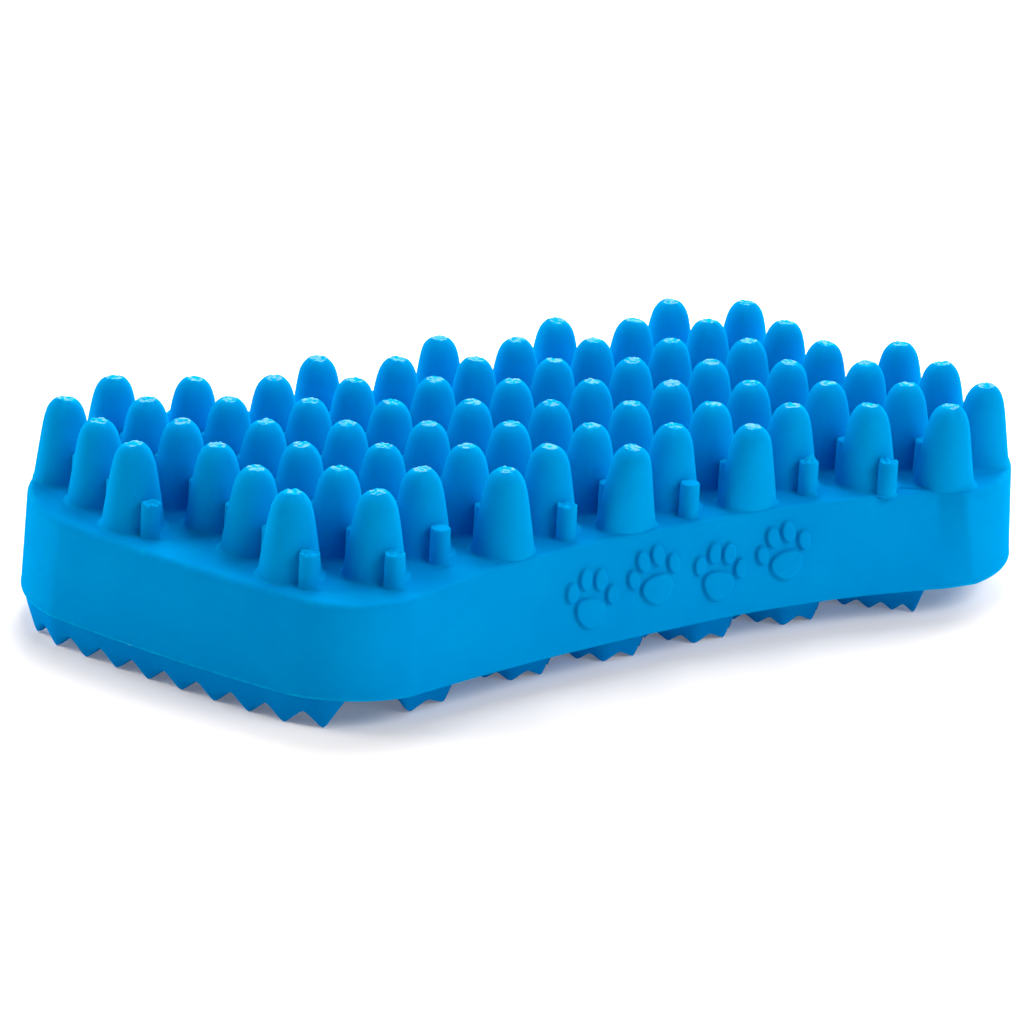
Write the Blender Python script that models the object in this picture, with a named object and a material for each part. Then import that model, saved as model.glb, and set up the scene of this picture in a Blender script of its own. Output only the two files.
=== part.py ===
"""Two-sided silicone grooming brush for pets, modelled in metres with +Z up.

One soft moulding: an hourglass slab with a long bristle field on top, low toothed ridges
underneath and a waist on each long side for the fingers. It stands on its ridge teeth, with the
origin below its middle. The whole brush is unchanged by half a turn about Z, except for the trail
of raised paws on the front wall.
"""
import math

import bmesh
import bpy
from mathutils import Matrix, Vector

# Driving dimensions, in metres.
PITCH = 0.0095              # bristle spacing, both along a column and from column to column
SLAB_THICKNESS = 0.0133
BRISTLE_HEIGHT = 0.0112
NUB_HEIGHT = 0.0047
TOOTH_HEIGHT = 0.0042
TOUCH_GAP = 0.0003          # clearance left between features that meet
RIM_CHAMFER = 0.0005

# Levels above the surface that the brush stands on.
SLAB_BOTTOM = TOOTH_HEIGHT
SLAB_TOP = SLAB_BOTTOM + SLAB_THICKNESS
BRISTLE_TIP = SLAB_TOP + BRISTLE_HEIGHT

# Half of each rim, in pitches: a start, then stretches of (end point, bulge, steps). A bulge is
# the height of the arc over its chord, positive outwards. The other half is this one turned round.
TOP_START = (-3.94, -3.48)
TOP_RIM = (
    ((0.60, -2.77), -0.24, 7),      # front waist, left of its deepest point
    ((4.70, -3.24), -0.17, 7),      # front waist, right of it
    ((5.00, -3.53), 0.00, 1),       # crease, stepping out onto the corner
    ((6.82, -1.00), 0.68, 8),       # broad corner
    ((5.32, 2.78), 0.10, 6),        # slanting end
    ((3.94, 3.48), 0.29, 4),        # tight corner
)
BOTTOM_START = (-4.00, -3.47)
BOTTOM_RIM = (
    ((0.60, -3.02), -0.09, 7),
    ((4.80, -3.47), -0.18, 7),
    ((5.29, -3.52), 0.00, 1),
    ((6.92, -1.10), 0.55, 8),
    ((5.40, 2.65), 0.08, 6),
    ((4.00, 3.47), 0.19, 4),
)
END_STRETCHES = 3                   # the last stretches of a half rim, which go round one end

# Bristle columns, in pitches: number along X -> (first Y, count) of bristles, then of nubs.
# Every second column is shifted by half a pitch. The right half is the left one turned round.
COLUMNS = {
    -6: ((0.5, 3), (0.0, 3)),
    -5: ((-2.0, 6), (-2.5, 6)),
    -4: ((-2.5, 6), (-3.0, 7)),
    -3: ((-2.0, 5), (-2.5, 6)),
    -2: ((-2.5, 6), (-2.0, 5)),
    -1: ((-2.0, 5), (-2.5, 6)),
    0: ((-2.5, 6), (-2.0, 5)),
}
WAIST_COLUMNS = (-2, 0, 2)          # their outer bristles are cut flush with the top rim
WAIST_CUT_INSET = 0.02 * PITCH

BRISTLE_SIDES = 10
BRISTLE_PROFILE = (                 # (share of the height, radius in pitches)
    (0.00, 0.430),
    (0.62, 0.325),
    (0.88, 0.240),
    (1.00, 0.115),
)
NUB_SIDES = 6
NUB_RADIUS = 0.14 * PITCH

# Underside, in pitches. A ridge section is four offsets to the left of its path: root, crest,
# crest, root. The end ridges run clockwise, so their outer side is the left one.
WAVE_VALLEY = 0.7                   # share of the height left between two teeth
WAVE_SECTION = (-0.16, -0.05, 0.05, 0.16)
WAVE_PERIOD = 1.5
WAVE_TEETH = ((0.0, 0.0), (0.49, 0.0), (0.74, 0.255), (1.0, 0.51), (1.25, 0.255))
WAVE_ROWS = (                       # (X of the first front tooth, front Y, teeth)
    (-1.90, -2.67, 21),
    (-4.90, -1.70, 36),
    (-4.90, -0.73, 36),
)
FRONT_LEAD_IN = ((-3.70, -2.99), (-3.09, -2.88), (-2.65, -2.42), (-2.40, -2.16), (-2.15, -2.42))
FRONT_LEAD_OUT = ((4.36, -2.87), (4.57, -3.10))
END_VALLEY = 0.45
END_SECTION = (-0.50, -0.12, 0.0, 0.07)
END_TOOTH_SPACING = 0.565
END_TOOTH_FLAT = 0.12
END_TEETH = 10
END_INSET = 0.09                    # tooth tips, from the bottom rim
END_START = 1.09                    # first tooth, along the rim from the tight corner's crease

# Trail of raised paws on the front wall.
PAW_CENTRES = ((-0.85, -0.06), (0.22, 0.06), (1.29, -0.06), (2.36, 0.06))   # (X, height) in pitches
PAW_TILT = math.radians(11.0)
PAW_PADS = (                        # (across, up, half width, half height) in pitches
    (0.00, -0.16, 0.25, 0.20),
    (-0.34, 0.09, 0.094, 0.131),
    (-0.125, 0.275, 0.10, 0.144),
    (0.125, 0.275, 0.10, 0.144),
    (0.34, 0.09, 0.094, 0.131),
)
PAD_SIDES = 10
PAD_PROUD = 0.0006
PAD_ROOT = 0.0012                   # how far a pad reaches into the slab before it is joined

BLUE = (0.0, 0.30, 0.70)
DEEP_BLUE = (0.0, 0.25, 0.62)


def clear_scene():
    """Remove whatever the scene holds."""
    for old in list(bpy.data.objects):
        bpy.data.objects.remove(old, do_unlink=True)


def silicone(name, colour, roughness):
    """Satin moulded silicone."""
    mat = bpy.data.materials.new(name)
    mat.use_nodes = True
    shader = mat.node_tree.nodes["Principled BSDF"]
    shader.inputs["Base Color"].default_value = (*colour, 1.0)
    shader.inputs["Roughness"].default_value = roughness
    shader.inputs["Metallic"].default_value = 0.0
    mat.diffuse_color = (*colour, 1.0)
    return mat


def object_from(name, bm, mat, smooth_angle=40.0):
    """Turn a bmesh into a named object with outward faces and one material."""
    bmesh.ops.recalc_face_normals(bm, faces=bm.faces)
    mesh = bpy.data.meshes.new(name)
    bm.to_mesh(mesh)
    bm.free()
    mesh.shade_smooth()
    mesh.set_sharp_from_angle(angle=math.radians(smooth_angle))
    obj = bpy.data.objects.new(name, mesh)
    if mat:
        mesh.materials.append(mat)
    bpy.context.scene.collection.objects.link(obj)
    return obj


def hide_tool(obj):
    """Mark an object as a shaping tool that is not part of the brush."""
    obj.hide_render = True
    obj.display_type = "WIRE"


def shape_with(obj, tool, operation):
    """Add an exact Boolean of obj with tool."""
    cut = obj.modifiers.new(operation.lower(), "BOOLEAN")
    cut.operation = operation
    cut.solver = "EXACT"
    cut.object = tool


def arc(start, end, bulge, steps):
    """Points from start up to, not including, end, on an arc bulging to the right of the way."""
    start, end = Vector(start), Vector(end)
    chord = end - start
    outward = Vector((chord.y, -chord.x)).normalized()
    if bulge == 0.0:
        return [start.lerp(end, step / steps) for step in range(steps)]
    half = chord.length / 2.0
    radius = (half * half + bulge * bulge) / (2.0 * bulge)
    centre = (start + end) / 2.0 + outward * (bulge - radius)
    sweep = 4.0 * math.atan(bulge / half)
    spoke = start - centre
    return [centre + Matrix.Rotation(sweep * step / steps, 2) @ spoke for step in range(steps)]


def half_rim(start, stretches):
    """Points of one half of a rim, in pitches, without its last one."""
    points = []
    for end, bulge, steps in stretches:
        points += arc(start, end, bulge, steps)
        start = end
    return points


def turned_round(points):
    """The same points after half a turn about Z."""
    return [-point for point in points]


def whole_rim(start, stretches):
    """A closed rim, in metres."""
    half = half_rim(start, stretches)
    return [point * PITCH for point in half + turned_round(half)]


def inset(loop, distance):
    """A closed loop moved inwards by a distance."""
    moved = []
    for index, point in enumerate(loop):
        along = loop[(index + 1) % len(loop)] - loop[index - 1]
        inward = Vector((-along.y, along.x)).normalized()
        moved.append(point + inward * distance)
    return moved


def loft(bm, sections):
    """Join closed sections of equal length into one capped skin."""
    rings = [[bm.verts.new(point) for point in section] for section in sections]
    count = len(rings[0])
    for lower, upper in zip(rings, rings[1:]):
        for index in range(count):
            following = (index + 1) % count
            bm.faces.new((lower[index], lower[following], upper[following], upper[index]))
    bm.faces.new(reversed(rings[0]))
    bm.faces.new(rings[-1])


def at_height(loop, z):
    """Lift a flat loop to a height."""
    return [Vector((point.x, point.y, z)) for point in loop]


def front_wall_y(rim, x):
    """Y of the front of a rim at x."""
    front = [point for point in rim if point.y < 0.0]
    for left, right in zip(front, front[1:]):
        if left.x <= x <= right.x:
            return left.lerp(right, (x - left.x) / (right.x - left.x)).y
    raise ValueError("x is outside the front wall")


def front_wall_frame(x, height):
    """Matrix at a point of the front wall, its Z axis pointing out of the wall."""
    lower = Vector((x, front_wall_y(whole_rim(BOTTOM_START, BOTTOM_RIM), x), SLAB_BOTTOM))
    upper = Vector((x, front_wall_y(whole_rim(TOP_START, TOP_RIM), x), SLAB_TOP))
    step = 0.2 * PITCH
    beside = Vector((x + step, front_wall_y(whole_rim(TOP_START, TOP_RIM), x + step), SLAB_TOP))
    up = (upper - lower).normalized()
    out = (beside - upper).cross(up).normalized()
    across = up.cross(out)
    middle = lower.lerp(upper, 0.5) + up * height
    turn = Matrix((across, up, out)).transposed().to_4x4()
    return Matrix.Translation(middle) @ turn


def add_pad(bm, frame, pad):
    """Add one closed oval pad standing on a wall."""
    across, up, half_width, half_height = (value * PITCH for value in pad)
    rings = []
    for level in (-PAD_ROOT, PAD_PROUD):
        ring = []
        for side in range(PAD_SIDES):
            angle = 2.0 * math.pi * side / PAD_SIDES
            x = across + half_width * math.cos(angle)
            y = up + half_height * math.sin(angle)
            ring.append(frame @ Vector((x, y, level)))
        rings.append(ring)
    loft(bm, rings)


def make_slab(mat):
    """Body slab, with the raised paws joined to its front wall."""
    top = whole_rim(TOP_START, TOP_RIM)
    bottom = whole_rim(BOTTOM_START, BOTTOM_RIM)
    bm = bmesh.new()
    loft(bm, (
        at_height(inset(bottom, RIM_CHAMFER), SLAB_BOTTOM),
        at_height(bottom, SLAB_BOTTOM + RIM_CHAMFER),
        at_height(top, SLAB_TOP - RIM_CHAMFER),
        at_height(inset(top, RIM_CHAMFER), SLAB_TOP),
    ))
    slab = object_from("body_slab", bm, mat)
    pads = bmesh.new()
    for index, (x, height) in enumerate(PAW_CENTRES):
        tilt = PAW_TILT if index % 2 else -PAW_TILT
        frame = front_wall_frame(x * PITCH, height * PITCH) @ Matrix.Rotation(tilt, 4, "Z")
        for pad in PAW_PADS:
            add_pad(pads, frame, pad)
    paws = object_from("paw_tool", pads, None)
    hide_tool(paws)
    shape_with(slab, paws, "UNION")


def add_turned(bm, x, y, profile, sides):
    """Add a closed turned shape of (height above the slab, radius) rings, a corner towards +Y."""
    rings = []
    for height, radius in profile:
        ring = []
        for side in range(sides):
            angle = math.pi / 2.0 + 2.0 * math.pi * side / sides
            spoke = Vector((math.cos(angle), math.sin(angle), 0.0)) * radius
            ring.append(Vector((x, y, SLAB_TOP + height)) + spoke)
        rings.append(ring)
    loft(bm, rings)


def column_rows(number):
    """Y positions, in pitches, of the bristles and of the nubs of a column."""
    rows = []
    for first, count in COLUMNS[-abs(number)]:
        rows.append([first + step for step in range(count)])
    if number > 0:
        rows = [[-y for y in row] for row in rows]
    return rows


def make_columns(mat):
    """Bristle columns: tapered bristles with a low nub between each two, joined at the roots."""
    reach = BRISTLE_HEIGHT - TOUCH_GAP
    bristle = [(TOUCH_GAP + share * reach, radius * PITCH) for share, radius in BRISTLE_PROFILE]
    nub = [(TOUCH_GAP, NUB_RADIUS), (NUB_HEIGHT, NUB_RADIUS)]
    prism = bmesh.new()
    inner = inset(whole_rim(TOP_START, TOP_RIM), WAIST_CUT_INSET)
    loft(prism, (at_height(inner, SLAB_BOTTOM), at_height(inner, BRISTLE_TIP + PITCH)))
    rim_tool = object_from("rim_tool", prism, None)
    hide_tool(rim_tool)
    for number in range(-6, 7):
        label = f"{number + 7:02d}"
        bristle_rows, nub_rows = column_rows(number)
        bm = bmesh.new()
        for row in bristle_rows:
            add_turned(bm, number * PITCH, row * PITCH, bristle, BRISTLE_SIDES)
        column = object_from(f"bristle_column_{label}", bm, mat)
        bm = bmesh.new()
        for row in nub_rows:
            add_turned(bm, number * PITCH, row * PITCH, nub, NUB_SIDES)
        nubs = object_from(f"nub_tool_{label}", bm, None)
        hide_tool(nubs)
        shape_with(column, nubs, "UNION")
        if number in WAIST_COLUMNS:
            shape_with(column, rim_tool, "INTERSECT")


def with_valleys(teeth, valley, flat):
    """Stations (point, crest share) along a run of teeth, each tooth flat for a short way."""
    stations = []
    for index, tooth in enumerate(teeth):
        before = teeth[max(index - 1, 0)]
        after = teeth[min(index + 1, len(teeth) - 1)]
        if index:
            stations.append(((before + tooth) / 2.0, valley))
        if flat:
            along = (after - before).normalized() * flat / 2.0
            stations += [(tooth - along, 1.0), (tooth + along, 1.0)]
        else:
            stations.append((tooth, 1.0))
    return stations


def make_ridge(name, teeth, section, valley, flat, mat):
    """A ridge hanging from the slab along a run of teeth, given in pitches."""
    stations = with_valleys(teeth, valley, flat)
    root = SLAB_BOTTOM - TOUCH_GAP
    points = [point for point, share in stations]
    sections = []
    for index, (point, share) in enumerate(stations):
        ahead = points[min(index + 1, len(points) - 1)] - point
        behind = point - points[max(index - 1, 0)]
        ahead = ahead.normalized() if ahead.length else behind.normalized()
        behind = behind.normalized() if behind.length else ahead
        mean = (ahead + behind).normalized()
        left = Vector((-mean.y, mean.x)) / max(mean.dot(ahead), 0.5)
        crest = SLAB_BOTTOM - share * TOOTH_HEIGHT
        heights = (root, crest, crest, root)
        spots = [(point + left * offset) * PITCH for offset in section]
        sections.append([Vector((spot.x, spot.y, z)) for spot, z in zip(spots, heights)])
    bm = bmesh.new()
    loft(bm, sections)
    return object_from(name, bm, mat, 30.0)


def wave_teeth(first_x, front_y, count):
    """Teeth of a wave running along X, in pitches."""
    teeth = []
    for index in range(count):
        period, step = divmod(index, len(WAVE_TEETH))
        x, y = WAVE_TEETH[step]
        teeth.append(Vector((first_x + period * WAVE_PERIOD + x, front_y + y)))
    return teeth


def walk(points, start, spacing, count):
    """Points at even distances along a polyline."""
    found = []
    travelled = 0.0
    for here, there in zip(points, points[1:]):
        length = (there - here).length
        while len(found) < count and start + len(found) * spacing <= travelled + length:
            share = (start + len(found) * spacing - travelled) / length
            found.append(here.lerp(there, share))
        travelled += length
    return found


def end_teeth():
    """Teeth round the right end, in pitches, starting at the tight corner."""
    rim = half_rim(BOTTOM_START, BOTTOM_RIM)
    loop = inset(rim + turned_round(rim), END_INSET)
    steps = sum(steps for end, bulge, steps in BOTTOM_RIM[-END_STRETCHES:])
    end = loop[len(rim) - steps:len(rim) + 1]
    return walk(end[::-1], END_START, END_TOOTH_SPACING, END_TEETH)


def make_ridges(mat):
    """Three waves under the front half and a ridge round one end, all repeated by half a turn."""
    rows = [wave_teeth(*row) for row in WAVE_ROWS]
    lead_in = [Vector(point) for point in FRONT_LEAD_IN]
    lead_out = [Vector(point) for point in FRONT_LEAD_OUT]
    rows[0] = lead_in + rows[0] + lead_out
    rows += [turned_round(row) for row in reversed(rows)]
    for number, row in enumerate(rows, start=1):
        make_ridge(f"wave_ridge_{number:02d}", row, WAVE_SECTION, WAVE_VALLEY, 0.0, mat)
    end = end_teeth()
    shape = (END_SECTION, END_VALLEY, END_TOOTH_FLAT)
    make_ridge("end_ridge_right", end, *shape, mat)
    make_ridge("end_ridge_left", turned_round(end), *shape, mat)


def main():
    clear_scene()
    make_slab(silicone("slab_silicone", BLUE, 0.45))
    make_columns(silicone("bristle_silicone", BLUE, 0.42))
    make_ridges(silicone("ridge_silicone", DEEP_BLUE, 0.45))


main()
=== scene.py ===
"""Looks of the two-sided silicone grooming brush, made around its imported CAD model.

The brush is one moulding of soft silicone. Each CAD node has one finely modelled piece that stands
for it, in the same place: the slab, thirteen columns of bristles, six wave ridges and two end
ridges. Sizes are in metres, or in pitches of the bristle field where a comment says so.
"""
import math
import random

import bmesh
import bpy
import numpy as np
from mathutils import Matrix, Vector, noise


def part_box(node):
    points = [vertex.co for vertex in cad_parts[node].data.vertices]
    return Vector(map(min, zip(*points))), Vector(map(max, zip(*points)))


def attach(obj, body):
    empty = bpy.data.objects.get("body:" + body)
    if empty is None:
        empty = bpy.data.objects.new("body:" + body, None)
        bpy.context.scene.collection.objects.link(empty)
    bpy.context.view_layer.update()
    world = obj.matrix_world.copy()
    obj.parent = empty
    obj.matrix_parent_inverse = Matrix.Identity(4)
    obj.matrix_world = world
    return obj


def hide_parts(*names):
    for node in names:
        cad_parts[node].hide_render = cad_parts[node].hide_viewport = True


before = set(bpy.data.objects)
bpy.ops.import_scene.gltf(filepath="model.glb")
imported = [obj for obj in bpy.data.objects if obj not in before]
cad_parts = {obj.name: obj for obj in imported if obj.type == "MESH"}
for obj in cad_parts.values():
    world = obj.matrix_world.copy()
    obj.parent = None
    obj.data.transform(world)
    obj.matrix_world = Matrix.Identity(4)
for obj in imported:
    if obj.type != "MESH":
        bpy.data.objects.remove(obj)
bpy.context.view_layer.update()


def middle_x(node):
    """X of the middle of a CAD node."""
    low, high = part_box(node)
    return (low.x + high.x) / 2.0


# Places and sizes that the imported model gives.
COLUMN_COUNT = 13
PITCH = (middle_x("bristle_column_13") - middle_x("bristle_column_01")) / (COLUMN_COUNT - 1)
SLAB_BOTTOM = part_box("body_slab")[0].z
SLAB_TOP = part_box("body_slab")[1].z
BRISTLE_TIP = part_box("bristle_column_07")[1].z
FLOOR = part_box("wave_ridge_01")[0].z

# Half of each rim, in pitches: a start, then stretches of (end point, bulge, steps). A bulge is
# the height of the arc over its chord, positive outwards. The other half is this one turned round.
TOP_START = (-3.94, -3.48)
TOP_RIM = (
    ((0.60, -2.77), -0.24, 84),
    ((4.70, -3.24), -0.17, 84),
    ((5.00, -3.53), 0.00, 12),
    ((6.82, -1.00), 0.68, 96),
    ((5.32, 2.78), 0.10, 72),
    ((3.94, 3.48), 0.29, 48),
)
BOTTOM_START = (-4.00, -3.47)
BOTTOM_RIM = (
    ((0.60, -3.02), -0.09, 84),
    ((4.80, -3.47), -0.18, 84),
    ((5.29, -3.52), 0.00, 12),
    ((6.92, -1.10), 0.57, 96),
    ((5.40, 2.65), 0.08, 72),
    ((4.00, 3.47), 0.19, 48),
)
FRONT_POINTS = sum(steps for _, _, steps in TOP_RIM[:2])        # rim points along the waist
END_POINTS = sum(steps for _, _, steps in BOTTOM_RIM[3:])       # rim points round one end
CREASE_ROUNDS = 2                   # averaging rounds that soften the creases of a rim

# Slab edges and moulding marks.
TOP_FILLET = 0.10 * PITCH           # round the ends; half as much along the waists
BOTTOM_FILLET = 0.015 * PITCH
TOP_FILLET_STEPS = 9
BOTTOM_FILLET_STEPS = 5
END_ZONE = (3.8 * PITCH, 5.6 * PITCH)           # distances from the middle where the ends set in
LID_SCALES = (1.0, 0.8, 0.6, 0.4, 0.2, 0.02)    # rings that fill the two flat faces
TOP_LID_INSET = 0.0004
BOTTOM_LID_INSET = 0.0008
FLASH_HEIGHT = 0.00003              # crumbs of trimmed flash on the edges
CRUMB_SIZE = 0.0007
CRUMB_PATCH_SIZE = 0.011
SEAM_PROUD = 0.00005                # parting line along the bottom edge, at the ends
SEAM_STEPS = ((0.00003, 1.0), (0.00015, 1.0), (0.00021, 0.0))   # (rise, strength)
WALL_STEPS = 12
WALL_WAVE = 0.00002                 # unevenness of the walls
WALL_WAVE_SIZES = (0.012, 0.004)

# Bristles, in pitches.
COLUMNS = {                         # left half: (first Y, count) of bristles, then of nubs
    -6: ((0.5, 3), (0.0, 3)),
    -5: ((-2.0, 6), (-2.5, 6)),
    -4: ((-2.5, 6), (-3.0, 7)),
    -3: ((-2.0, 5), (-2.5, 6)),
    -2: ((-2.5, 6), (-2.0, 5)),
    -1: ((-2.0, 5), (-2.5, 6)),
    0: ((-2.5, 6), (-2.0, 5)),
}
BRISTLE_SIDES = 40
BRISTLE_DEPTHS = (                  # rings, as shares of a bristle's height below its tip
    0.86, 0.74, 0.62, 0.50, 0.40, 0.31, 0.24, 0.18, 0.135, 0.098, 0.068, 0.044, 0.026, 0.013, 0.005,
    0.0,
)
TIP_RADII = (0.075, 0.035)          # rings inside the trimmed tip
BODY_RADIUS = 0.253                 # of the cone without its shoulder, at the tip
BODY_TAPER = 0.154                  # radius gained over one pitch of depth
SHOULDER_LOSS = 0.546               # share of the radius that the rounded tip takes away
SHOULDER_DEPTH = 0.096
ROOT_FILLET = 0.055
ROOT_STEPS = 6
ROOT_DEPTH = 0.10                   # how far a root reaches into the slab
LENGTH_SPREAD = 0.02
BRISTLE_LEAN = 0.014
TIP_TILT = 0.10                     # largest slope of a trimmed tip
TIP_REACH = 0.035                   # depth over which the trimmed tip is uneven
TIP_ROUGH = 0.10
TIP_NICK_SIZE = 0.28
TORN_REACH = 0.03                   # depth over which a torn edge is pale
TRIM_RADIUS = 0.12                  # the trimmed face is pale inside this radius
BODY_UNEVEN = 0.012
BODY_UNEVEN_SIZE = 0.9
NUB_SIDES = 24
NUB_RADIUS = 0.138
NUB_HEIGHT = 0.495
NUB_STEPS = (                       # (share of the height, share of the radius), from the foot
    (-0.02, 1.16), (0.0, 1.13), (0.012, 1.06), (0.04, 1.01), (0.30, 1.0), (0.75, 0.985),
    (0.93, 0.98), (0.975, 0.965), (1.0, 0.90), (1.0, 0.80), (1.0, 0.62), (1.0, 0.42), (1.0, 0.2),
)
NUB_TOP = 0.9                       # share of the height where the worn top begins
NUB_ROUGH = 0.05
NUB_TEAR_SIZE = 0.42
WAIST_INSET = 0.020                 # feet of waist bristles are tucked in this far inside the rim

# Underside, in pitches.
RIDGE_DEPTHS = (0.0, 0.10, 0.24, 0.45, 0.70, 0.90, 1.0)     # points down each flank, as shares
RIDGE_STEPS = 6                     # stations for each half tooth
RIDGE_ROOT_RISE = 0.0002            # how far a ridge's root reaches into the slab, in metres
CREST_SPREAD = 0.03                 # largest share of the height that a tooth may lack
CREST_ROUNDING = 0.30

# A ridge section is four offsets to the left of its path: root, crest, crest, root. The end
# ridges run clockwise, so their outer side is the left one.
WAVE_VALLEY = 0.72                  # share of the height left between two teeth
WAVE_SECTION = (-0.17, -0.035, 0.035, 0.17)
WAVE_PERIOD = 1.5
WAVE_TEETH = ((0.0, 0.0), (0.49, 0.0), (0.74, 0.255), (1.0, 0.51), (1.25, 0.255))
WAVE_ROWS = (                       # (X of the first front tooth, front Y, teeth)
    (-1.90, -2.67, 21),
    (-4.90, -1.70, 36),
    (-4.90, -0.73, 36),
)
FRONT_LEAD_IN = ((-3.70, -2.99), (-3.09, -2.88), (-2.65, -2.42), (-2.40, -2.16), (-2.15, -2.42))
FRONT_LEAD_OUT = ((4.36, -2.87), (4.57, -3.10))
END_VALLEY = 0.46
END_SECTION = (-0.46, -0.07, 0.0, 0.08)
END_TOOTH_SPACING = 0.565
END_TEETH = 10
END_INSET = 0.09
END_START = 1.09

# Trail of raised paws on the front wall, in pitches.
PAW_CENTRES = ((-0.85, -0.06), (0.22, 0.06), (1.29, -0.06), (2.36, 0.06))
PAW_TILT = math.radians(11.0)
PAW_PADS = (                        # (across, up, half width, half height, lobes)
    (0.00, -0.16, 0.25, 0.20, 0.07),
    (-0.34, 0.09, 0.094, 0.131, 0.0),
    (-0.125, 0.275, 0.10, 0.144, 0.0),
    (0.125, 0.275, 0.10, 0.144, 0.0),
    (0.34, 0.09, 0.094, 0.131, 0.0),
)
PAD_SIDES = 40
PAD_PROUD = 0.0006
PAD_STEPS = (                       # (share of the proudness, outline offset)
    (-0.50, 0.00030),
    (0.00, 0.00026),
    (0.06, 0.00014),
    (0.22, 0.00005),
    (0.60, 0.00000),
    (0.82, -0.00005),
    (0.95, -0.00014),
    (1.00, -0.00028),
    (1.02, -0.00055),
)

# Silicone.
SLAB_BLUE = (0.0, 0.268, 0.630)     # a mottle runs from the first to the second of each pair
SLAB_SHADE = (0.0, 0.246, 0.605)
# Bristles: the slab's silicone painted lighter, as painted light on the bristles.
BRISTLE_PAINTED_LIGHT_BLUE = (0.0, 0.294, 0.670)
BRISTLE_PAINTED_LIGHT_MOTTLE = (0.0, 0.274, 0.640)
# Ridges: the slab's silicone painted darker, as painted shade under the slab.
RIDGE_PAINTED_SHADE_BLUE = (0.0, 0.225, 0.590)
RIDGE_PAINTED_SHADE_MOTTLE = (0.0, 0.200, 0.560)
LIGHT_BLUE = (0.0, 0.380, 0.720)    # flash and torn silicone, and painted highlight on the slab's edges
PALE = (0.22, 0.50, 0.74)           # trimmed faces; also the brightest painted highlight on the slab's bottom edge

# Textures, in features for each metre.
MOTTLE_SCALE = 110.0
SPECKLE_SCALE = 1500.0
SATIN_SCALE = 700.0
FINE_GRAIN_SCALE = 2600.0
COARSE_GRAIN_SCALE = 420.0

# Studio.
CAMERA_AZIMUTH = math.radians(-33.10)
CAMERA_ELEVATION = math.radians(20.765)
CAMERA_ROLL = math.radians(2.664)
CAMERA_DISTANCE = 0.6491
CAMERA_AIM = Vector((-0.00224, 0.00025, 0.01168))
CAMERA_LENS = 171.18
FLOOR_SIZE = 9.0
FLOOR_GLOW = 0.12                   # faint light of the floor itself, which softens the shadow
LIGHT_DISTANCE = 1.0
LIGHT_SIZE = 0.4
LIGHTS = (                          # (name, azimuth and elevation in degrees, watts)
    ("right", 117.0, 12.0, 11.0),
    ("right_high", 102.0, 42.0, 1.6),
    ("back_right", 147.0, 12.0, 5.3),
    ("back_right_high", 147.0, 42.0, 3.4),
    ("top", 147.0, 70.0, 3.9),
    ("front_right", 27.0, 12.0, 1.6),
    ("front_low", -3.0, 12.0, 0.3),
    ("front_high", 27.0, 42.0, 4.2),
    ("side_high", 57.0, 42.0, 1.1),
    ("left_high", -78.0, 42.0, 0.9),
    ("back_left", -123.0, 42.0, 3.6),
    ("back", -153.0, 12.0, 5.8),
)


class Skin:
    """Points, faces and pale shares of one piece while it is made."""

    def __init__(self):
        self.points = []
        self.faces = []
        self.pale = []

    def ring(self, points, pale=0.0):
        """Add a closed ring of points and return their numbers."""
        first = len(self.points)
        self.points += [tuple(point) for point in points]
        self.pale += np.broadcast_to(pale, len(points)).tolist()
        return range(first, len(self.points))

    def body(self, rings, pales=None):
        """Add a closed body from rings of equal length, with a lid on each end."""
        pales = pales or [0.0] * len(rings)
        numbered = [self.ring(points, pale) for points, pale in zip(rings, pales)]
        for lower, upper in zip(numbered, numbered[1:]):
            for here in range(len(lower)):
                after = (here + 1) % len(lower)
                self.faces.append((lower[here], lower[after], upper[after], upper[here]))
        self.faces.append(tuple(reversed(numbered[0])))
        self.faces.append(tuple(numbered[-1]))

    def piece(self, name, mat, node, sharp=38.0):
        """Make the piece, standing for a CAD node."""
        mesh = bpy.data.meshes.new(name)
        mesh.from_pydata(self.points, [], self.faces)
        tidy = bmesh.new()
        tidy.from_mesh(mesh)
        bmesh.ops.recalc_face_normals(tidy, faces=tidy.faces)
        tidy.to_mesh(mesh)
        tidy.free()
        mesh.attributes.new("pale", "FLOAT", "POINT").data.foreach_set("value", self.pale)
        mesh.materials.append(mat)
        mesh.shade_smooth()
        mesh.set_sharp_from_angle(angle=math.radians(sharp))
        obj = bpy.data.objects.new(name, mesh)
        bpy.context.scene.collection.objects.link(obj)
        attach(obj, "root")
        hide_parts(node)


def grain(point, size, seed=0.0):
    """Smooth noise from about -1 to 1, with features of a size."""
    return noise.noise(Vector(point) / size + Vector((seed, seed * 0.7, -seed)))


def smoothstep(low, high, value):
    """0 below low, 1 above high, smooth between."""
    share = np.clip((value - low) / (high - low), 0.0, 1.0)
    return share * share * (3.0 - 2.0 * share)


def arc(start, end, bulge, steps):
    """Points from start up to, not including, end, on an arc bulging to the right of the way."""
    start, end = np.array(start), np.array(end)
    shares = np.arange(steps)[:, None] / steps
    chord = end - start
    if bulge == 0.0:
        return start + chord * shares
    half = np.linalg.norm(chord) / 2.0
    outward = np.array((chord[1], -chord[0])) / (2.0 * half)
    radius = (half * half + bulge * bulge) / (2.0 * bulge)
    centre = (start + end) / 2.0 + outward * (bulge - radius)
    angles = 4.0 * math.atan(bulge / half) * shares
    spoke = start - centre
    square = np.array((-spoke[1], spoke[0]))
    return centre + spoke * np.cos(angles) + square * np.sin(angles)


def softened(line, rounds, closed=True):
    """A line with its creases rounded off by averaging neighbours."""
    for _ in range(rounds):
        mean = (np.roll(line, 1, 0) + 2.0 * line + np.roll(line, -1, 0)) / 4.0
        if not closed:
            mean[0] = line[0]
            mean[-1] = line[-1]
        line = mean
    return line


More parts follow.
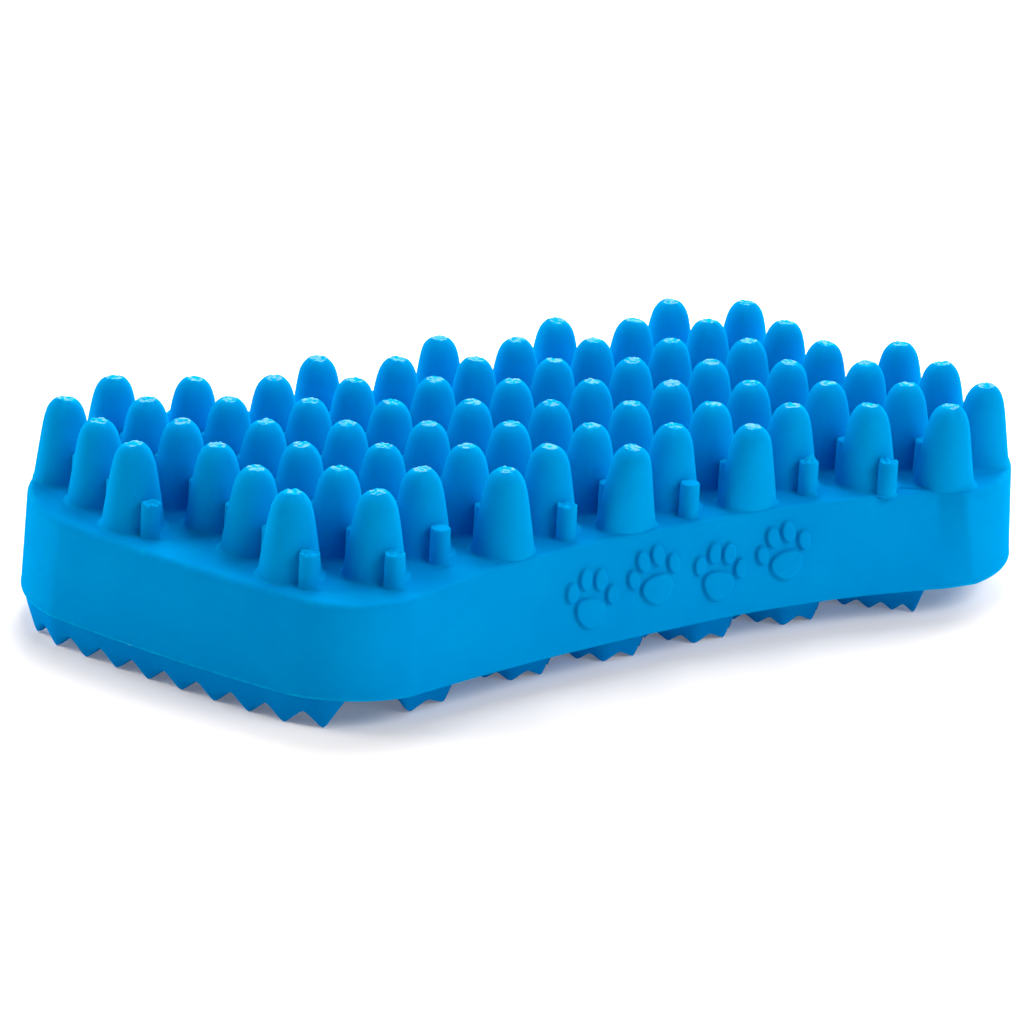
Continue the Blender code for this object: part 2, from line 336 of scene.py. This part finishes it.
def whole_rim(start, stretches):
    """A closed rim, in metres, counter-clockwise, with softened creases."""
    parts = []
    for end, bulge, steps in stretches:
        parts.append(arc(start, end, bulge, steps))
        start = end
    half = np.vstack(parts)
    return softened(np.vstack((half, -half)), CREASE_ROUNDS) * PITCH


def outward_of(loop):
    """Unit vectors pointing out of a counter-clockwise loop."""
    along = np.roll(loop, -1, 0) - np.roll(loop, 1, 0)
    out = np.column_stack((along[:, 1], -along[:, 0]))
    return out / np.linalg.norm(out, axis=1)[:, None]


TOP_LOOP = whole_rim(TOP_START, TOP_RIM)
BOTTOM_LOOP = whole_rim(BOTTOM_START, BOTTOM_RIM)
TOP_OUT = outward_of(TOP_LOOP)


def wall_ring(heights, insets):
    """Ring of wall points at given heights, moved inwards by given distances."""
    share = ((heights - SLAB_BOTTOM) / (SLAB_TOP - SLAB_BOTTOM))[:, None]
    flat = BOTTOM_LOOP + (TOP_LOOP - BOTTOM_LOOP) * share - TOP_OUT * insets[:, None]
    return np.column_stack((flat, heights))


def flash_share(points, ends):
    """How much trimmed flash each rim point shows, from 0 to 1: most round the ends. It also sets
    the painted highlight on the slab's edges.
    """
    patches = np.array([grain(point, CRUMB_PATCH_SIZE, 3.0) for point in points])
    crumbs = np.array([grain(point, CRUMB_SIZE, 8.0) for point in points])
    return np.clip(crumbs + 0.1 + patches, 0.0, 1.0) * (0.25 + 0.75 * ends)


def wall_wave(ring):
    """How far each wall point lies inside the even wall, from the unevenness of the walls."""
    broad, narrow = WALL_WAVE_SIZES
    return WALL_WAVE * np.array([grain(point, broad, 1.0) + 0.4 * grain(point, narrow, 2.0)
                                 for point in ring])


def make_slab(mat):
    """The slab: draughted walls, rounded edges with flash and a parting line, and raised paws. Its
    edges carry pale lines that are partly flash and partly painted highlight.
    """
    level = np.ones(len(TOP_LOOP))
    ends = smoothstep(*END_ZONE, np.abs(TOP_LOOP[:, 0]))
    fillet = TOP_FILLET * (0.5 + 0.5 * ends)
    flash = flash_share(wall_ring(SLAB_TOP * level, 0.0 * level), ends)
    rings = []
    pales = []

    def add(heights, insets, pale):
        rings.append(wall_ring(heights, insets))
        pales.append(pale)

    def add_lid(scales, ring):
        for scale in scales:
            rings.append(ring * (scale, scale, 1.0))
            pales.append(0.0)

    edge = wall_ring(SLAB_BOTTOM * level, (BOTTOM_FILLET + BOTTOM_LID_INSET) * level)
    add_lid(LID_SCALES[::-1], edge)
    for turn in np.linspace(0.0, math.pi / 2.0, BOTTOM_FILLET_STEPS):
        inset = BOTTOM_FILLET * (1.0 - math.sin(turn))
        rise = BOTTOM_FILLET * (1.0 - math.cos(turn))
        bead = FLASH_HEIGHT * (0.6 * flash + 1.2 * ends) * math.sin(2.0 * turn)
        # pale band on the bottom fillet: partly flash, partly painted highlight on the parting line
        # at the ends
        pale = (0.3 * flash + 0.5 * ends) * math.sin(2.0 * turn)
        add((SLAB_BOTTOM + rise) * level, inset * level - bead, pale)
    low = SLAB_BOTTOM + BOTTOM_FILLET
    for rise, strength in SEAM_STEPS:
        # pale on the parting line's lip: partly flash, partly painted highlight
        pale = strength * (0.2 * flash + 0.4 * ends)
        add((low + rise) * level, -SEAM_PROUD * strength * ends, pale)
    for share in np.linspace(0.0, 1.0, WALL_STEPS)[1:-1]:
        heights = low + (SLAB_TOP - fillet - low) * share
        add(heights, wall_wave(wall_ring(heights, 0.0 * level)), 0.0)
    for turn in np.linspace(0.0, math.pi / 2.0, TOP_FILLET_STEPS):
        inset = fillet * (1.0 - math.cos(turn))
        rise = fillet * (1.0 - math.sin(turn))
        bead = FLASH_HEIGHT * flash * math.sin(2.0 * turn) ** 2
        # pale line along the middle of the top fillet: partly trimmed flash, partly painted
        # highlight where the edge catches light
        pale = 0.30 * flash * math.sin(2.0 * turn) ** 2
        add(SLAB_TOP - rise + 0.5 * bead, inset - bead, pale)
    add_lid(LID_SCALES, wall_ring(SLAB_TOP * level, fillet + TOP_LID_INSET))
    skin = Skin()
    skin.body(rings, pales)
    add_paws(skin)
    skin.piece("moulded_slab", mat, "body_slab")


def front_wall(x, height):
    """Point of the front wall at x and at a height above the slab's bottom."""
    front = slice(0, FRONT_POINTS)
    share = height / (SLAB_TOP - SLAB_BOTTOM)
    low = np.interp(x, BOTTOM_LOOP[front, 0], BOTTOM_LOOP[front, 1])
    high = np.interp(x, TOP_LOOP[front, 0], TOP_LOOP[front, 1])
    return Vector((x, low + (high - low) * share, SLAB_BOTTOM + height))


def front_wall_out(x, height):
    """Direction pointing out of the front wall."""
    step = 0.05 * PITCH
    across = front_wall(x + step, height) - front_wall(x - step, height)
    up = front_wall(x, height + step) - front_wall(x, height - step)
    return across.cross(up).normalized()


def add_paws(skin):
    """Raised pads on the front wall, with small fillets at the foot and rounded upper edges."""
    middle = (SLAB_TOP - SLAB_BOTTOM) / 2.0
    for index, (paw_x, paw_height) in enumerate(PAW_CENTRES):
        turn = Matrix.Rotation(PAW_TILT if index % 2 else -PAW_TILT, 2)
        for across, up, half_width, half_height, lobes in PAW_PADS:
            rings = []
            for share, offset in PAD_STEPS:
                ring = []
                for side in range(PAD_SIDES):
                    angle = math.tau * side / PAD_SIDES
                    reach = 1.0 + lobes * math.sin(3.0 * angle)
                    local = turn @ Vector((
                        across * PITCH + (half_width * PITCH * reach + offset) * math.cos(angle),
                        up * PITCH + (half_height * PITCH * reach + offset) * math.sin(angle),
                    ))
                    x = paw_x * PITCH + local.x
                    height = middle + paw_height * PITCH + local.y
                    proud = share * PAD_PROUD
                    ring.append(front_wall(x, height) + front_wall_out(x, height) * proud)
                rings.append(ring)
            skin.body(rings)


def column_rows(number):
    """Y positions, in pitches, of the bristles and of the nubs of a column."""
    rows = [[first + step for step in range(count)] for first, count in COLUMNS[-abs(number)]]
    if number > 0:
        rows = [[-y for y in row] for row in rows]
    return rows


def room_at(x, y):
    """Direction of the nearest rim point from a bristle's axis, and the room left, in pitches."""
    axis = np.array((x, y)) * PITCH
    nearest = np.argmin(((TOP_LOOP - axis) ** 2).sum(axis=1))
    way = TOP_LOOP[nearest] - axis
    length = np.linalg.norm(way)
    return Vector(way / length), length / PITCH - WAIST_INSET


def tucked(spoke, reach, way, room):
    """Offset of a bristle's surface, its side towards the rim flattened where room is short."""
    towards = spoke.dot(way)
    if towards <= 0.0 or room >= reach:
        return spoke * reach
    return spoke * reach - way * towards * (reach - room)


def bristle_rings(height):
    """(Depth below the tip, radius) of a bristle's rings from the root up, in pitches."""
    rings = [(height + ROOT_DEPTH, bristle_radius(height) + ROOT_FILLET)]
    for turn in np.linspace(0.0, math.pi / 2.0, ROOT_STEPS):
        rise = ROOT_FILLET * (1.0 - math.cos(turn))
        flare = ROOT_FILLET * (1.0 - math.sin(turn))
        rings.append((height - rise, bristle_radius(height - rise) + flare))
    for share in BRISTLE_DEPTHS:
        rings.append((share * height, bristle_radius(share * height)))
    return rings + [(0.0, radius) for radius in TIP_RADII]


def bristle_radius(depth):
    """Radius of a bristle at a depth below its tip, both in pitches."""
    shoulder = 1.0 - SHOULDER_LOSS * math.exp(-depth / SHOULDER_DEPTH)
    return (BODY_RADIUS + BODY_TAPER * depth) * shoulder


def add_bristle(skin, x, y, rng):
    """A tapered bristle with a flared root and a trimmed, slightly uneven tip."""
    height = (BRISTLE_TIP - SLAB_TOP) / PITCH - rng.uniform(0.0, LENGTH_SPREAD)
    lean = Vector((rng.uniform(-1.0, 1.0), rng.uniform(-1.0, 1.0))) * BRISTLE_LEAN
    tilt_way = rng.uniform(0.0, math.tau)
    tilt = rng.uniform(0.2, 1.0) * TIP_TILT
    torn_way = rng.uniform(0.0, math.tau)
    torn = rng.uniform(0.0, 0.8)
    seed = rng.uniform(0.0, 50.0)
    way, room = room_at(x, y)
    rings = []
    pales = []
    for depth, radius in bristle_rings(height):
        share = max(0.0, 1.0 - depth / height)
        top = math.exp(-depth / TIP_REACH)
        trimmed = 0.85 if depth == 0.0 and radius < TRIM_RADIUS else 0.0
        ring = []
        pale = []
        for side in range(BRISTLE_SIDES):
            angle = math.tau * side / BRISTLE_SIDES
            spoke = Vector((math.cos(angle), math.sin(angle)))
            uneven = grain((spoke.x, spoke.y, 0.9 * depth), BODY_UNEVEN_SIZE, seed)
            nick = grain((spoke.x, spoke.y, 0.0), TIP_NICK_SIZE, seed + 20.0)
            reach = radius * (1.0 + BODY_UNEVEN * uneven + TIP_ROUGH * top * nick)
            dip = reach * math.cos(angle - tilt_way) * tilt + BODY_UNEVEN * (nick + uneven)
            spot = Vector((x, y)) + lean * share * share + tucked(spoke, reach, way, room)
            z = SLAB_TOP + (height - depth + min(0.0, dip - BODY_UNEVEN) * top) * PITCH
            ring.append((spot.x * PITCH, spot.y * PITCH, z))
            edge = torn * max(0.0, math.cos(angle - torn_way)) * math.exp(-depth / TORN_REACH)
            pale.append(max(edge, trimmed))
        rings.append(ring)
        pales.append(np.array(pale))
    skin.body(rings, pales)


def add_nub(skin, x, y, rng):
    """A low round nub, its top smooth, torn or drawn out into a point."""
    height = NUB_HEIGHT * rng.uniform(0.96, 1.0)
    kind = rng.choice(("smooth", "torn", "torn", "torn", "point"))
    rough = 0.0 if kind == "smooth" else NUB_ROUGH
    point_height = rng.uniform(0.08, 0.14) if kind == "point" else 0.0
    point_spot = Vector((rng.uniform(-1.0, 1.0), rng.uniform(-1.0, 1.0))) * 0.3 * NUB_RADIUS
    hollow = rng.uniform(0.01, 0.035) if kind == "torn" else -0.008
    seed = rng.uniform(0.0, 50.0)
    rings = []
    pales = []
    for share, reach in NUB_STEPS:
        upper = max(0.0, (share - NUB_TOP) / (1.0 - NUB_TOP))
        ring = []
        pale = []
        for side in range(NUB_SIDES):
            angle = math.tau * side / NUB_SIDES
            spoke = Vector((math.cos(angle), math.sin(angle)))
            tear = grain((spoke.x * reach, spoke.y * reach, 0.0), NUB_TEAR_SIZE, seed)
            offset = spoke * reach * NUB_RADIUS * (1.0 + 0.5 * rough * upper * tear)
            away = (offset - point_spot).length / (0.4 * NUB_RADIUS)
            peak = point_height * math.exp(-away ** 2)
            bowl = hollow * (1.0 - reach * reach) * upper
            rise = share * height + upper * (rough * tear * 0.8 + peak) - bowl
            ring.append(((x + offset.x) * PITCH, (y + offset.y) * PITCH, SLAB_TOP + rise * PITCH))
            pale.append(0.8 * upper * min(1.0, (rough * 14.0) * abs(tear) + 3.0 * peak))
        rings.append(ring)
        pales.append(np.array(pale))
    skin.body(rings, pales)


def make_columns(mat):
    """Thirteen columns of bristles, with a nub between each two."""
    for number in range(-6, 7):
        label = f"{number + 7:02d}"
        rng = random.Random(number + 40)
        skin = Skin()
        bristle_rows, nub_rows = column_rows(number)
        for y in bristle_rows:
            add_bristle(skin, number, y, rng)
        for y in nub_rows:
            add_nub(skin, number, y, rng)
        skin.piece(f"bristle_row_{label}", mat, f"bristle_column_{label}", 50.0)


def wave_path(first_x, front_y, count):
    """Teeth of a wave running along X, in pitches."""
    teeth = []
    for index in range(count):
        period, step = divmod(index, len(WAVE_TEETH))
        x, y = WAVE_TEETH[step]
        teeth.append((first_x + period * WAVE_PERIOD + x, front_y + y))
    return np.array(teeth)


def end_path():
    """Teeth round the right end and run-outs, in pitches, starting at the tight corner."""
    loop = (BOTTOM_LOOP - outward_of(BOTTOM_LOOP) * END_INSET * PITCH) / PITCH
    half = len(loop) // 2
    line = loop[half - END_POINTS:half + 1][::-1]
    travelled = np.append(0.0, np.cumsum(np.linalg.norm(np.diff(line, axis=0), axis=1)))
    steps = np.concatenate(([-0.5], np.arange(END_TEETH), [END_TEETH - 0.5]))
    stops = END_START + END_TOOTH_SPACING * steps
    return np.column_stack([np.interp(stops, travelled, line[:, axis]) for axis in (0, 1)])


def with_run_outs(teeth):
    """The teeth, with half a step added at each end."""
    before = teeth[0] + (teeth[0] - teeth[1]) * 0.5
    after = teeth[-1] + (teeth[-1] - teeth[-2]) * 0.5
    return np.vstack((before, teeth, after))


def ridge_stations(path, valley, softness):
    """(points, crest shares) closely spaced along a run of teeth with a run-out at each end."""
    teeth = path[1:-1]
    knots = [path[0]]
    shares = [0.0]
    for index, tooth in enumerate(teeth):
        if index:
            knots.append((teeth[index - 1] + tooth) / 2.0)
            shares.append(valley)
        knots.append(tooth)
        shares.append(1.0)
    knots = np.array(knots + [path[-1]])
    shares = np.array(shares + [0.0])
    spots = np.arange(len(knots))
    fine = np.linspace(0, len(knots) - 1, (len(knots) - 1) * RIDGE_STEPS + 1)
    points = np.column_stack([np.interp(fine, spots, knots[:, axis]) for axis in (0, 1)])
    crests = softened(np.interp(fine, spots, shares), 1, closed=False)
    return softened(points, softness, closed=False), crests / crests.max()


def make_ridge(name, path, section, valley, flare, softness, mat, node, rng):
    """A toothed ridge hanging from the slab, its section cut off lower down at the teeth."""
    points, crests = ridge_stations(path, valley, softness)
    along = np.gradient(points, axis=0)
    along /= np.linalg.norm(along, axis=1)[:, None]
    left = np.column_stack((-along[:, 1], along[:, 0]))
    depth = SLAB_BOTTOM - FLOOR
    into_slab = Vector((0.0, 0.0, RIDGE_ROOT_RISE))
    rings = []
    seed = rng.uniform(0.0, 50.0)
    for point, way, crest in zip(points, left, crests):
        crest *= 1.0 - CREST_SPREAD * max(0.0, grain((*point, 0.0), 0.5, seed))
        ring = []
        for root, top, order in ((section[0], section[1], 1), (section[3], section[2], -1)):
            for share in RIDGE_DEPTHS[::order]:
                deep = share * crest
                reach = top + (root - top) * (1.0 - deep) ** flare
                rounding = CREST_ROUNDING * (share == 1.0)
                reach -= (reach - (section[1] + section[2]) / 2.0) * rounding
                spot = (point + way * reach) * PITCH
                ring.append(Vector((spot[0], spot[1], SLAB_BOTTOM - deep * depth)))
        rings.append([ring[0] + into_slab, *ring, ring[-1] + into_slab])
    skin = Skin()
    skin.body(rings)
    skin.piece(name, mat, node, 32.0)


def make_ridges(mat):
    """Three waves under the front half and a ridge round one end, all repeated by half a turn."""
    rng = random.Random(7)
    rows = [wave_path(*row) for row in WAVE_ROWS]
    rows[0] = np.vstack((FRONT_LEAD_IN, rows[0], FRONT_LEAD_OUT))
    rows += [-row for row in reversed(rows)]
    for number, row in enumerate(rows, start=1):
        label = f"{number:02d}"
        make_ridge(f"wave_teeth_{label}", with_run_outs(row), WAVE_SECTION, WAVE_VALLEY, 1.5, 4, mat,
                   f"wave_ridge_{label}", rng)
    end = end_path()
    for side, path in (("right", end), ("left", -end)):
        make_ridge(f"end_teeth_{side}", path, END_SECTION, END_VALLEY, 1.0, 2, mat,
                   f"end_ridge_{side}", rng)


def silicone(name, colour, shade, roughness):
    """Matt silicone: mottled blue, pale where flash or a tip was trimmed, with a fine grain. Along
    the slab's edges the pale is partly painted highlight.
    """
    mat = bpy.data.materials.new(name)
    mat.use_nodes = True
    nodes = mat.node_tree.nodes
    links = mat.node_tree.links
    shader = nodes["Principled BSDF"]
    place = nodes.new("ShaderNodeTexCoord")

    def noise_node(scale, detail, seed):
        node = nodes.new("ShaderNodeTexNoise")
        node.noise_dimensions = "4D"
        node.inputs["W"].default_value = seed
        node.inputs["Scale"].default_value = scale
        node.inputs["Detail"].default_value = detail
        links.new(place.outputs["Object"], node.inputs["Vector"])
        return node.outputs["Fac"]

    def ramped(value, low, high, to_low, to_high):
        node = nodes.new("ShaderNodeMapRange")
        node.inputs["From Min"].default_value = low
        node.inputs["From Max"].default_value = high
        node.inputs["To Min"].default_value = to_low
        node.inputs["To Max"].default_value = to_high
        links.new(value, node.inputs["Value"])
        return node.outputs["Result"]

    def mixed(share, first, second):
        node = nodes.new("ShaderNodeMix")
        node.data_type = "RGBA"
        links.new(share, node.inputs["Factor"])
        for socket, value in ((node.inputs[6], first), (node.inputs[7], second)):
            if isinstance(value, tuple):
                socket.default_value = (*value, 1.0)
            else:
                links.new(value, socket)
        return node.outputs[2]

    def maths(operation, first, second):
        node = nodes.new("ShaderNodeMath")
        node.operation = operation
        for socket, value in zip(node.inputs, (first, second)):
            if isinstance(value, float):
                socket.default_value = value
            else:
                links.new(value, socket)
        return node.outputs["Value"]

    mottle = ramped(noise_node(MOTTLE_SCALE, 3.0, 0.0), 0.35, 0.65, 0.0, 1.0)
    speckle = ramped(noise_node(SPECKLE_SCALE, 2.0, 4.0), 0.38, 0.55, 0.0, 1.0)
    marked = nodes.new("ShaderNodeAttribute")
    marked.attribute_name = "pale"
    pale = maths("MULTIPLY", marked.outputs["Fac"], maths("MAXIMUM", speckle, 0.45))
    blue = mixed(mottle, colour, shade)
    lightened = mixed(ramped(pale, 0.0, 0.5, 0.0, 1.0), blue, LIGHT_BLUE)
    paled = mixed(ramped(pale, 0.5, 1.0, 0.0, 1.0), lightened, PALE)
    links.new(paled, shader.inputs["Base Color"])

    satin_grain = noise_node(SATIN_SCALE, 4.0, 9.0)
    satin = ramped(satin_grain, 0.3, 0.7, roughness - 0.05, roughness + 0.06)
    links.new(maths("ADD", satin, maths("MULTIPLY", pale, 0.12)), shader.inputs["Roughness"])

    coarse = maths("MULTIPLY", noise_node(COARSE_GRAIN_SCALE, 2.0, 15.0), 1.6)
    fine = maths("ADD", noise_node(FINE_GRAIN_SCALE, 3.0, 12.0), coarse)
    bump = nodes.new("ShaderNodeBump")
    bump.inputs["Strength"].default_value = 0.16
    bump.inputs["Distance"].default_value = 0.00008
    links.new(fine, bump.inputs["Height"])
    links.new(bump.outputs["Normal"], shader.inputs["Normal"])

    shader.inputs["Specular IOR Level"].default_value = 0.0
    shader.inputs["Sheen Weight"].default_value = 0.12
    shader.inputs["Sheen Roughness"].default_value = 0.4
    shader.inputs["Sheen Tint"].default_value = (0.0, 0.6, 1.0, 1.0)
    shader.inputs["Subsurface Weight"].default_value = 0.10
    shader.inputs["Subsurface Radius"].default_value = (0.2, 0.5, 1.0)
    shader.inputs["Subsurface Scale"].default_value = 0.0012
    mat.diffuse_color = (*colour, 1.0)
    return mat


def make_floor():
    """A plain white floor below the brush."""
    mat = bpy.data.materials.new("floor_white")
    mat.use_nodes = True
    shader = mat.node_tree.nodes["Principled BSDF"]
    shader.inputs["Base Color"].default_value = (0.95, 0.89, 0.845, 1.0)
    shader.inputs["Roughness"].default_value = 0.9
    shader.inputs["Specular IOR Level"].default_value = 0.1
    shader.inputs["Emission Color"].default_value = (1.0, 1.0, 1.0, 1.0)
    shader.inputs["Emission Strength"].default_value = FLOOR_GLOW
    half = FLOOR_SIZE / 2.0
    mesh = bpy.data.meshes.new("floor")
    signs = ((-1, -1), (1, -1), (1, 1), (-1, 1))
    mesh.from_pydata([(x * half, y * half, FLOOR) for x, y in signs], [], [(0, 1, 2, 3)])
    mesh.materials.append(mat)
    obj = bpy.data.objects.new("floor", mesh)
    bpy.context.scene.collection.objects.link(obj)


def direction(azimuth, elevation):
    """Unit vector from the brush towards a viewer, azimuth 0 being in front of it."""
    flat = math.cos(elevation)
    return Vector((math.sin(azimuth) * flat, -math.cos(azimuth) * flat, math.sin(elevation)))


def make_lights():
    """Large soft lights in an unlit surround."""
    for name, azimuth, elevation, watts in LIGHTS:
        light = bpy.data.lights.new(name, "AREA")
        light.shape = "SQUARE"
        light.size = LIGHT_SIZE
        light.energy = watts
        obj = bpy.data.objects.new(name, light)
        way = direction(math.radians(azimuth), math.radians(elevation))
        obj.location = way * LIGHT_DISTANCE
        obj.rotation_euler = way.to_track_quat("Z", "Y").to_euler()
        obj.visible_camera = False
        bpy.context.scene.collection.objects.link(obj)
    world = bpy.data.worlds.new("surround")
    world.use_nodes = True
    world.node_tree.nodes["Background"].inputs["Strength"].default_value = 0.0
    bpy.context.scene.world = world


def make_camera():
    """A long lens from a little above the front left."""
    camera = bpy.data.cameras.new("camera")
    camera.sensor_width = 36.0
    camera.lens = CAMERA_LENS
    camera.clip_start = 0.05
    camera.clip_end = 50.0
    obj = bpy.data.objects.new("camera", camera)
    way = direction(CAMERA_AZIMUTH, CAMERA_ELEVATION)
    turn = way.to_track_quat("Z", "Y").to_matrix().to_4x4() @ Matrix.Rotation(CAMERA_ROLL, 4, "Z")
    obj.matrix_world = Matrix.Translation(CAMERA_AIM + way * CAMERA_DISTANCE) @ turn
    bpy.context.scene.collection.objects.link(obj)
    bpy.context.scene.camera = obj


make_slab(silicone("slab_blue", SLAB_BLUE, SLAB_SHADE, 0.45))
# The bristles' blue is lighter than the slab's: painted light.
make_columns(silicone("bristle_blue_painted_light", BRISTLE_PAINTED_LIGHT_BLUE, BRISTLE_PAINTED_LIGHT_MOTTLE, 0.40))
# The ridges' blue is darker than the slab's: painted shade under the slab.
make_ridges(silicone("ridge_blue_painted_shade", RIDGE_PAINTED_SHADE_BLUE, RIDGE_PAINTED_SHADE_MOTTLE, 0.45))
make_floor()
make_lights()
make_camera()
bpy.context.scene.view_settings.view_transform = "Standard"
